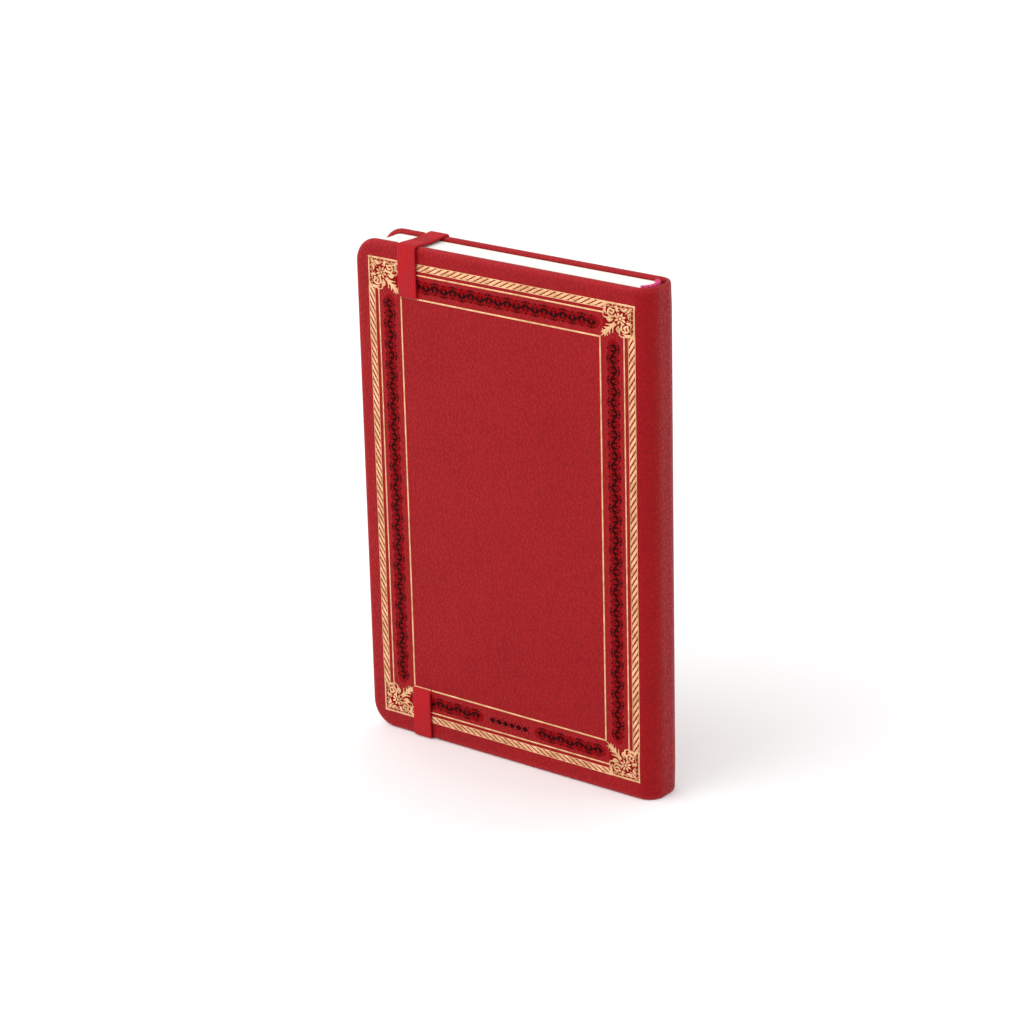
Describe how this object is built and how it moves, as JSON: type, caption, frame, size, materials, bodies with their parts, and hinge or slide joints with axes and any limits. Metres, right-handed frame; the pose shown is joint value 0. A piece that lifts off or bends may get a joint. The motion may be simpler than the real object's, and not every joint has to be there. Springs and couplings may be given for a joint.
{
  "type": "pocket notebook",
  "caption": "Pocket notebook in a red leather case binding with gold-tooled borders, sewn page sections, headbands and an elastic closure round the covers.",
  "frame": {"origin": "centre of the closed book's tail, midway between the covers and between fore edge and spine", "axes": "+Z from tail to head, +X from the fore edge towards the spine, +Y from the back cover towards the front cover"},
  "size_m": [0.095, 0.0154, 0.1404],
  "materials": {
    "cover_leather": "satin fine-grained goatskin, rounded and lightly rubbed edges",
    "board": "dense millboard",
    "endpaper": "uncoated heavy paper",
    "page_paper": "uncoated writing paper, cut edges",
    "elastic": "flat ribbed woven elastic",
    "headband": "wound silk over a core",
    "mull": "open-weave lining cloth",
    "thread": "waxed linen thread",
    "gold_tooling": "gold leaf pressed into the leather",
    "blind_tooling": "leather darkened by a heated tool"
  },
  "bodies": {
    "back_cover": {"back_board": "board", "back_leather": "cover_leather", "back_pastedown": "endpaper", "elastic_end_top": "elastic", "elastic_end_bottom": "elastic"},
    "text_block": {"spine_leather": "cover_leather", "spine_inlay": "board", "spine_mull": "mull", "section_folds": "page_paper", "sewing_thread": "thread", "headband_top": "headband", "headband_bottom": "headband"},
    "front_cover": {"front_board": "board", "front_leather": "cover_leather", "front_pastedown": "endpaper"},
    "elastic": {"elastic_loop": "elastic"},
    "front_flyleaf": {"front_flyleaf": "endpaper"},
    "back_flyleaf": {"back_flyleaf": "endpaper"},
    "section_1": {"section_1": "page_paper"},
    "section_2": {"section_2": "page_paper"},
    "section_3": {"section_3": "page_paper"},
    "section_4": {"section_4": "page_paper"},
    "section_5": {"section_5": "page_paper"},
    "section_6": {"section_6": "page_paper"},
    "section_7": {"section_7": "page_paper"},
    "section_8": {"section_8": "page_paper"}
  },
  "joints": [
    {"name": "back_hinge", "type": "hinge", "parent": "back_cover", "child": "text_block", "pos_m": [0.0423, -0.0069, 0], "axis": [0, 0, -1], "range_deg": [0, 178]},
    {"name": "front_hinge", "type": "hinge", "parent": "text_block", "child": "front_cover", "pos_m": [0.0423, 0.0069, 0], "axis": [0, 0, -1], "range_deg": [0, 178]},
    {"name": "elastic_release", "type": "slide", "parent": "back_cover", "child": "elastic", "axis": [-1, 0, 0], "range_m": [0, 0.0221], "deforming": ["elastic_loop"]},
    {"name": "front_flyleaf_turn", "type": "hinge", "parent": "text_block", "child": "front_flyleaf", "pos_m": [0.0401, 0.00428, 0], "axis": [0, 0, -1], "range_deg": [0, 94]},
    {"name": "back_flyleaf_turn", "type": "hinge", "parent": "text_block", "child": "back_flyleaf", "pos_m": [0.0401, -0.00428, 0], "axis": [0, 0, 1], "range_deg": [0, 94]},
    {"name": "section_1_turn", "type": "hinge", "parent": "text_block", "child": "section_1", "pos_m": [0.0397, 0.00363, 0], "axis": [0, 0, -1], "range_deg": [0, 84]},
    {"name": "section_2_turn", "type": "hinge", "parent": "text_block", "child": "section_2", "pos_m": [0.0397, 0.00259, 0], "axis": [0, 0, -1], "range_deg": [0, 73]},
    {"name": "section_3_turn", "type": "hinge", "parent": "text_block", "child": "section_3", "pos_m": [0.0397, 0.00156, 0], "axis": [0, 0, -1], "range_deg": [0, 62]},
    {"name": "section_4_turn", "type": "hinge", "parent": "text_block", "child": "section_4", "pos_m": [0.0397, 0.00052, 0], "axis": [0, 0, -1], "range_deg": [0, 51]},
    {"name": "section_5_turn", "type": "hinge", "parent": "text_block", "child": "section_5", "pos_m": [0.0397, -0.00052, 0], "axis": [0, 0, -1], "range_deg": [0, 40]},
    {"name": "section_6_turn", "type": "hinge", "parent": "text_block", "child": "section_6", "pos_m": [0.0397, -0.00156, 0], "axis": [0, 0, -1], "range_deg": [0, 29]},
    {"name": "section_7_turn", "type": "hinge", "parent": "text_block", "child": "section_7", "pos_m": [0.0397, -0.00259, 0], "axis": [0, 0, -1], "range_deg": [0, 18]},
    {"name": "section_8_turn", "type": "hinge", "parent": "text_block", "child": "section_8", "pos_m": [0.0397, -0.00363, 0], "axis": [0, 0, -1], "range_deg": [0, 7]}
  ],
  "couplings": [
    {"joint": "front_flyleaf_turn", "follows": "front_hinge", "ratio": 0.52809},
    {"joint": "back_flyleaf_turn", "follows": "back_hinge", "ratio": 0.52809},
    {"joint": "section_1_turn", "follows": "front_hinge", "ratio": 0.47191},
    {"joint": "section_2_turn", "follows": "front_hinge", "ratio": 0.41011},
    {"joint": "section_3_turn", "follows": "front_hinge", "ratio": 0.34831},
    {"joint": "section_4_turn", "follows": "front_hinge", "ratio": 0.28652},
    {"joint": "section_5_turn", "follows": "front_hinge", "ratio": 0.22472},
    {"joint": "section_6_turn", "follows": "front_hinge", "ratio": 0.16292},
    {"joint": "section_7_turn", "follows": "front_hinge", "ratio": 0.10112},
    {"joint": "section_8_turn", "follows": "front_hinge", "ratio": 0.039325}
  ]
}
